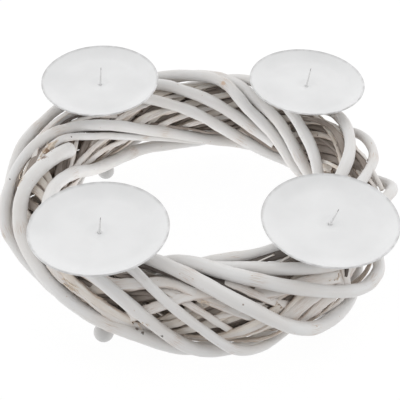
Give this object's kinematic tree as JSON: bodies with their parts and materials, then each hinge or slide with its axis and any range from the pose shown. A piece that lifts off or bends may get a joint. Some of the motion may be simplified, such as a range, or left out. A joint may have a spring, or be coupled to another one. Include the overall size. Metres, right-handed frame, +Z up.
{
  "type": "advent wreath",
  "caption": "Painted willow ring of round canes wound over split strips, with dished candle plates on spiked pins that run down through it into ball feet.",
  "frame": {"origin": "on the ground under the middle of the whole box; the ball feet stand on z = 0", "axes": "+Z up; seen from the front, +X is right and +Y is away from the viewer"},
  "size_m": [0.3068, 0.297, 0.1146],
  "materials": {
    "cane_paint": "matt white paint on round willow cane",
    "strip_paint": "thin whitewash on split willow, raw at the edges",
    "plate_lacquer": "smooth white lacquer on thin sheet steel",
    "pin_lacquer": "thin grey-white lacquer on steel wire",
    "foot_paint": "satin white paint on a turned ball"
  },
  "bodies": {
    "root": {"cane_01": "cane_paint", "cane_02": "cane_paint", "cane_03": "cane_paint", "cane_04": "cane_paint", "cane_05": "cane_paint", "cane_06": "cane_paint", "cane_07": "cane_paint", "cane_08": "cane_paint", "cane_09": "cane_paint", "cane_10": "cane_paint", "cane_11": "cane_paint", "cane_12": "cane_paint", "cane_13": "cane_paint", "cane_14": "cane_paint", "cane_15": "cane_paint", "cane_16": "cane_paint", "foot_back_left": "foot_paint", "foot_back_right": "foot_paint", "foot_front_left": "foot_paint", "foot_front_right": "foot_paint", "pin_back_left": "pin_lacquer", "pin_back_right": "pin_lacquer", "pin_front_left": "pin_lacquer", "pin_front_right": "pin_lacquer", "plate_back_left": "plate_lacquer", "plate_back_right": "plate_lacquer", "plate_front_left": "plate_lacquer", "plate_front_right": "plate_lacquer", "strip_01": "strip_paint", "strip_02": "strip_paint", "strip_03": "strip_paint", "strip_04": "strip_paint", "strip_05": "strip_paint", "strip_06": "strip_paint", "strip_07": "strip_paint", "strip_08": "strip_paint", "strip_09": "strip_paint", "strip_10": "strip_paint", "strip_11": "strip_paint", "strip_12": "strip_paint", "strip_13": "strip_paint", "strip_14": "strip_paint", "strip_15": "strip_paint", "strip_16": "strip_paint", "strip_17": "strip_paint", "strip_18": "strip_paint", "strip_19": "strip_paint", "strip_20": "strip_paint", "strip_21": "strip_paint", "strip_22": "strip_paint", "strip_23": "strip_paint", "strip_24": "strip_paint", "strip_25": "strip_paint", "strip_26": "strip_paint", "strip_27": "strip_paint", "strip_28": "strip_paint", "strip_29": "strip_paint", "strip_30": "strip_paint", "strip_31": "strip_paint", "strip_32": "strip_paint"}
  },
  "joints": []
}
